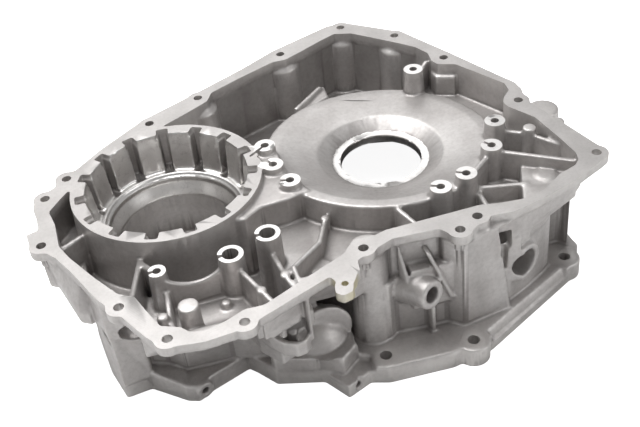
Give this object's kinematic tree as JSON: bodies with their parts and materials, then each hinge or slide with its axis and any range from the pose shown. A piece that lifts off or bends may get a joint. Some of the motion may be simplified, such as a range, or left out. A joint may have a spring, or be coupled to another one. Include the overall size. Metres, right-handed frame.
{
  "type": "torque converter housing",
  "caption": "Cast bell housing with a machined bolted rim, a slotted bearing ring, a domed roof with a central bore and a lower flange.",
  "frame": {"origin": "axis of the converter bore, on its seal face", "axes": "+Z along the bore axis toward the bolted rim, +X away from the slotted ring, +Y toward the far corner of the rim"},
  "size_m": [0.536, 0.4405, 0.129],
  "materials": {
    "cast_aluminium": "as cast and blasted, joint faces machined bright"
  },
  "bodies": {
    "root": {"housing": "cast_aluminium"}
  },
  "joints": []
}
